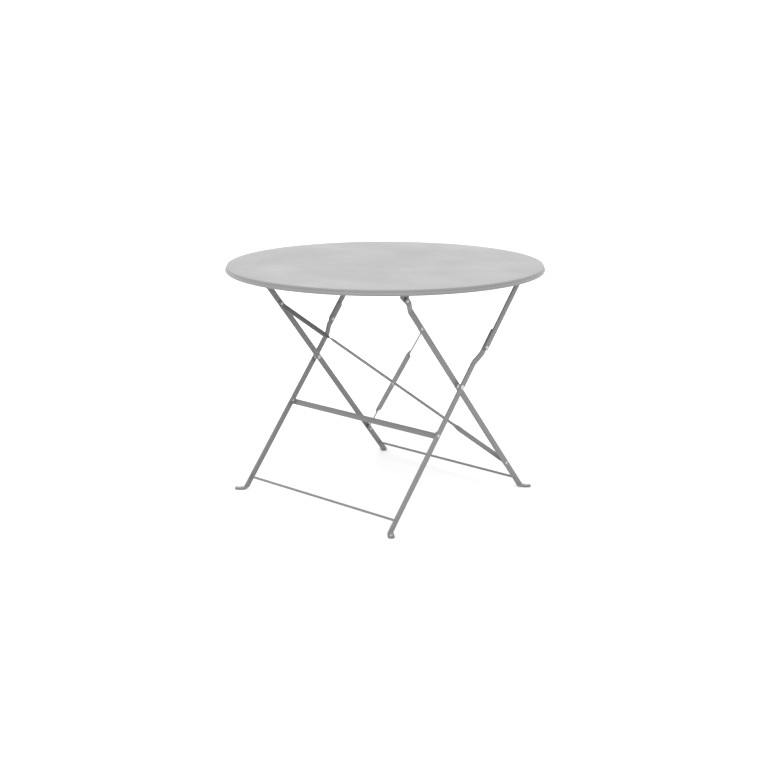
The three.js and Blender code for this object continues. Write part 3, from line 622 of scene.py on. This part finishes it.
def brace(name, side, layer):
    half, middle = brace_half(side, layer)
    mirrored = []
    for centre, across, normal, _ in reversed(half):
        turned = Vector((2 * middle.x - centre.x, centre.y, 2 * middle.z - centre.z))
        mirrored.append(station(turned, Vector((across.x, -across.y, across.z)),
                                Vector((-normal.x, normal.y, -normal.z))))
    stations = list(half)
    for centre, across, normal, _ in mirrored:
        if across.dot(stations[-1][1]) < 0:
            across = -across
        if normal.dot(stations[-1][2]) < 0:
            normal = -normal
        stations.append(station(centre, across, normal))
    painted_piece(name, sweep(stations, STRIP_THICKNESS, STRIP_EDGE), INNER_PLACE, "inner_frame")


# ---- Frames ----

def build_inner_frame():
    body = "inner_frame"
    joggle = (INNER_JOGGLE, UPPER_LEG - INNER_JOGGLE_START, UPPER_LEG - INNER_JOGGLE_END)
    for side_name, side in SIDES.items():
        leg(f"inner_leg_{side_name}", INNER_X, side, 1, joggle, UPPER_LEG + LEG_HALF, INNER_PLACE, body)
        glide("inner", side_name, INNER_X, 1, INNER_PLACE, body)
        cross_rivet(f"scissor_rivet_{side_name}", PIVOT_RIVET, side, INNER_X - LEG_FACE,
                    OUTER_X + LEG_FACE, 0, INNER_PLACE, body)
        spacer(f"scissor_spacer_{side_name}", side, INNER_PLACE, body)
        for end_name, height in (("top", BRACE_TOP), ("bottom", BRACE_BOTTOM)):
            cross_rivet(f"brace_rivet_{end_name}_{side_name}", SMALL_RIVET, side,
                        BRACE_X - STRIP_THICKNESS / 2, INNER_X + LEG_FACE, height, INNER_PLACE, body)
    layer = (STRIP_THICKNESS + CLEARANCE) / 2
    brace("brace_back", -1, layer)
    brace("brace_front", 1, -layer)
    middle = (BRACE_TOP + BRACE_BOTTOM) / 2
    reach = STRIP_THICKNESS + CLEARANCE / 2 - SEATED
    centre = two_heads(SMALL_RIVET, -reach, reach)
    centre.transform(Matrix.Translation((0, 0, middle)) @ Matrix.Rotation(math.pi / 2, 4, "Z"))
    rivet_piece("brace_rivet_centre", centre, INNER_PLACE, body)
    rod("inner_foot_rod", INNER_X, INNER_PLACE, body)


def cross_bar(height):
    """Flat bar on the legs' under edge, its ends folded up along their inner faces."""
    tab_x = OUTER_X - LEG_FACE - CLEARANCE - STRIP_THICKNESS / 2
    bend = STRIP_THICKNESS
    bar_y = LEG_HALF - STRIP_THICKNESS / 2
    across = Vector((0, 0, LEG_HALF))
    end = [station(Vector((tab_x, -LEG_HALF, 0)), across, X_AXIS)]
    for step in range(9):
        angle = math.radians(90 * step / 8)
        centre = Vector((tab_x - bend * (1 - math.cos(angle)), bar_y - bend * (1 - math.sin(angle)), 0))
        end.append(station(centre, across, Vector((math.cos(angle), math.sin(angle), 0))))
    other = [
        station(Vector((-centre.x, centre.y, centre.z)), across, Vector((-normal.x, normal.y, normal.z)))
        for centre, across, normal, _ in reversed(end)
    ]
    solid = sweep(end + other, STRIP_THICKNESS, STRIP_EDGE)
    solid.transform(Matrix.Translation((0, 0, height)))
    painted_piece("outer_cross_bar", solid, OUTER_PLACE, "outer_frame")


def build_outer_frame():
    body = "outer_frame"
    bar_at = -LOWER_LEG * CROSS_BAR_SHARE
    joggle = (OUTER_JOGGLE, LINK_PIVOT - OUTER_JOGGLE_START, LINK_PIVOT - OUTER_JOGGLE_END)
    top = LINK_PIVOT + OUTER_LEG_TAIL
    for side_name, side in SIDES.items():
        leg(f"outer_leg_{side_name}", OUTER_X, side, -1, joggle, top, OUTER_PLACE, body)
        glide("outer", side_name, OUTER_X, -1, OUTER_PLACE, body)
        cross_rivet(f"cross_bar_rivet_{side_name}", SMALL_RIVET, side,
                    OUTER_X - LEG_FACE - CLEARANCE - STRIP_THICKNESS, OUTER_X + LEG_FACE, bar_at,
                    OUTER_PLACE, body)
        tail = rivet_head(HINGE_RIVET)
        inside_face = Vector((side * (OUTER_X + OUTER_JOGGLE - LEG_FACE + SEATED), 0, LINK_PIVOT))
        tail.transform(Matrix.Translation(inside_face) @ Matrix.Rotation(-side * math.pi / 2, 4, "Y"))
        rivet_piece(f"link_rivet_tail_{side_name}", tail, OUTER_PLACE, body)
    cross_bar(bar_at)
    rod("outer_foot_rod", OUTER_X, OUTER_PLACE, body)


def build_link(side_name):
    side = SIDES[side_name]
    body = f"{side_name}_link"
    across = Vector((0, LEG_HALF, 0))
    low = Vector((side * LINK_X, 0, LINK_PIVOT))
    high = Vector((side * LINK_X, 0, LINK_HINGE_REACH))
    stations = (
        list(reversed(round_end(low, -Z_AXIS, across, X_AXIS)))
        + [station(low, across, X_AXIS), station(high, across, X_AXIS)]
        + round_end(high, Z_AXIS, across, X_AXIS)
    )
    painted_piece(f"link_{side_name}", sweep(stations, BAR_THICKNESS, BAR_EDGE), OUTER_PLACE, body)
    head = rivet_head(HINGE_RIVET)
    outside_face = Vector((side * (LINK_X + LEG_FACE - SEATED), 0, LINK_PIVOT))
    head.transform(Matrix.Translation(outside_face) @ Matrix.Rotation(side * math.pi / 2, 4, "Y"))
    rivet_piece(f"link_rivet_head_{side_name}", head, OUTER_PLACE, body)


# ---- Tabletop ----

def tabletop_profile():
    """Pressed sheet with a turned-down flange rolled inwards at the bottom, below z = 0."""
    flange = TOP_RADIUS - FLANGE_INSET
    corner_at = flange - CORNER_RADIUS
    curl_at = TOP_RADIUS - CURL_RADIUS
    curl_height = CURL_RADIUS - RIM_DEPTH
    inner_start = math.degrees(math.acos((flange - SHEET - curl_at) / (CURL_RADIUS - SHEET)))
    rings = [step * corner_at / 14 for step in range(1, 14)]
    return (
        [(0, 0)]
        + [(radius, 0) for radius in rings]
        + arc(corner_at, -CORNER_RADIUS, CORNER_RADIUS, 90, 0, 10)
        + arc(curl_at, curl_height, CURL_RADIUS, CURL_START, CURL_END, 30)
        + arc(curl_at, curl_height, CURL_RADIUS - SHEET, CURL_END, inner_start, 30)
        + arc(corner_at, -CORNER_RADIUS, CORNER_RADIUS - SHEET, 0, 90, 10)
        + [(radius, -SHEET) for radius in reversed(rings)]
        + [(0, -SHEET)]
    )


def ripple(point):
    """Slight unevenness of a large pressed sheet, always downwards."""
    across = math.sin(9.0 * point.x + 1.3) * math.cos(7.0 * point.y - 0.4)
    along = math.sin(15.0 * point.x - 11.0 * point.y)
    return RIPPLE * (8 * across + 3 * along - 11) / 11


def build_tabletop():
    solid = revolve(tabletop_profile(), RIM_SEGMENTS)
    flat = TOP_RADIUS - FLANGE_INSET - CORNER_RADIUS
    for vertex in solid.verts:
        reach = math.hypot(vertex.co.x, vertex.co.y) / flat
        if reach < 1:
            vertex.co.z += ripple(vertex.co) * (1 - reach ** 4)
    top = new_piece("tabletop_visual", solid, TOP_PLACE, "top", TOP_PAINTED_LIGHT,
                    ["tabletop", "tabletop_rim"])
    soften(top, 60)
    wire_section = arc(TOP_RADIUS - CURL_RADIUS, CURL_RADIUS - RIM_DEPTH, WIRE_RADIUS, 0, 340, 17)
    wire = revolve(wire_section, RIM_SEGMENTS)
    new_piece("rim_wire_visual", wire, TOP_PLACE, "top", FRAME_PAINT, ["rim_wire"])
    hinge_y = {"top": -UPPER_LEG * math.sin(LEAN), "link": LINK_HINGE_REACH * math.sin(LEAN)}
    top_plate = TOP_BRACKET_X - BRACKET_THICKNESS / 2
    link_plate = LINK_BRACKET_X - BRACKET_THICKNESS / 2
    for side_name, side in SIDES.items():
        rail(side_name, side)
        bracket(f"top_bracket_{side_name}", side * TOP_BRACKET_X, hinge_y["top"], TOP_HINGE_DROP, -1)
        bracket(f"link_bracket_{side_name}", side * LINK_BRACKET_X, hinge_y["link"], LINK_HINGE_DROP, 1)
        cross_rivet(f"top_hinge_rivet_{side_name}", HINGE_RIVET, side, top_plate, TOP_HINGE_X + LEG_FACE,
                    -TOP_HINGE_DROP, TOP_PLACE, "top", hinge_y["top"])
        cross_rivet(f"link_hinge_rivet_{side_name}", HINGE_RIVET, side, link_plate, LINK_X + LEG_FACE,
                    -LINK_HINGE_DROP, TOP_PLACE, "top", hinge_y["link"])


def rail(side_name, side):
    """Folded channel, open upwards against the sheet."""
    half = (RAIL_OUTSIDE_X - RAIL_INSIDE_X) / 2
    outside_fold = RAIL_WALL + RAIL_FOLD
    fold_x = half - outside_fold
    fold_z = outside_fold - RAIL_DEPTH
    outer = [(-half, 0)]
    outer += arc(-fold_x, fold_z, outside_fold, 180, 270, 6)
    outer += arc(fold_x, fold_z, outside_fold, 270, 360, 6)
    outer += [(half, 0)]
    inner = [(half - RAIL_WALL, 0)]
    inner += arc(fold_x, fold_z, RAIL_FOLD, 360, 270, 6)
    inner += arc(-fold_x, fold_z, RAIL_FOLD, 270, 180, 6)
    inner += [(RAIL_WALL - half, 0)]
    solid = bmesh.new()
    ends = []
    for y in (-RAIL_LENGTH / 2, RAIL_LENGTH / 2):
        ends.append([solid.verts.new((x, y, z)) for x, z in outer + inner])
    near, far = ends
    count = len(near)
    for k in range(count):
        after = (k + 1) % count
        solid.faces.new((near[k], near[after], far[after], far[k]))
    solid.faces.new(list(reversed(near)))
    solid.faces.new(far)
    middle = side * (RAIL_INSIDE_X + RAIL_OUTSIDE_X) / 2
    place = TOP_PLACE @ Matrix.Translation((middle, 0, -SHEET - CLEARANCE))
    painted_piece(f"rail_{side_name}", solid, place, "top", 30)


def bracket(name, x, y, drop, outward):
    """Plate that hangs from a rail and narrows to a round nose about its hinge, late on its outward side."""
    top = drop - SHEET - 2 * CLEARANCE
    half_top = BRACKET_TOP_WIDTH / 2
    straight = top - RAIL_DEPTH / 2
    outline = [(half_top, top), (-half_top, top), (-half_top, BRACKET_HEEL)]
    heel_reach = math.hypot(half_top, BRACKET_HEEL)
    toe_reach = math.hypot(half_top, straight)
    start = math.atan2(BRACKET_HEEL, -half_top) + math.acos(BRACKET_NOSE_RADIUS / heel_reach)
    end = 2 * math.pi + math.atan2(straight, half_top) - math.acos(BRACKET_NOSE_RADIUS / toe_reach)
    for step in range(17):
        angle = start + (end - start) * step / 16
        outline.append((BRACKET_NOSE_RADIUS * math.cos(angle), BRACKET_NOSE_RADIUS * math.sin(angle)))
    outline.append((half_top, straight))
    solid = prism(outline, BRACKET_THICKNESS, SMALL_EDGE)
    if outward > 0:
        solid.transform(Matrix.Rotation(math.pi, 4, "Z"))
    painted_piece(name, solid, TOP_PLACE @ Matrix.Translation((x, y, -drop)), "top")


# ---- Surroundings ----

def build_floor():
    mesh = bpy.data.meshes.new("floor")
    corners = [(x * FLOOR_SIZE, y * FLOOR_SIZE, 0) for x, y in ((-1, -1), (1, -1), (1, 1), (-1, 1))]
    mesh.from_pydata(corners, [], [(0, 1, 2, 3)])
    floor = bpy.data.objects.new("floor", mesh)
    bpy.context.scene.collection.objects.link(floor)
    nodes = NodeTree("pale_floor")
    nodes.shader.inputs["Base Color"].default_value = (FLOOR_TONE, FLOOR_TONE, FLOOR_TONE, 1)
    nodes.shader.inputs["Roughness"].default_value = 1.0
    nodes.shader.inputs["Specular IOR Level"].default_value = 0.0
    mesh.materials.append(nodes.material)


def area_light(name, position, target, size, power):
    data = bpy.data.lights.new(name, "AREA")
    data.shape = "RECTANGLE"
    data.size, data.size_y = size
    data.energy = power
    light = bpy.data.objects.new(name, data)
    light.location = position
    direction = Vector(target) - Vector(position)
    light.rotation_euler = direction.to_track_quat("-Z", "Y").to_euler()
    bpy.context.scene.collection.objects.link(light)


def build_light():
    world = bpy.data.worlds.new("studio")
    world.use_nodes = True
    background = world.node_tree.nodes["Background"]
    background.inputs["Color"].default_value = (1, 1, 1, 1)
    background.inputs["Strength"].default_value = WORLD_STRENGTH
    bpy.context.scene.world = world
    area_light("key", KEY_PLACE, KEY_TARGET, KEY_SIZE, KEY_POWER)
    view = bpy.context.scene.view_settings
    view.view_transform = "Standard"
    view.look = "None"
    view.exposure = 0.0


def build_camera():
    """Looks down on the table from the outer frame's right-hand foot."""
    data = bpy.data.cameras.new("camera")
    data.lens = CAMERA_LENS
    data.sensor_width = 36
    data.clip_end = 60
    camera = bpy.data.objects.new("camera", data)
    camera.location = CAMERA_PLACE
    camera.rotation_euler = (math.pi / 2 - CAMERA_DOWN, 0, CAMERA_ROUND)
    bpy.context.scene.collection.objects.link(camera)
    bpy.context.scene.camera = camera


build_inner_frame()
build_outer_frame()
for each_side in SIDES:
    build_link(each_side)
build_tabletop()
build_floor()
build_light()
build_camera()
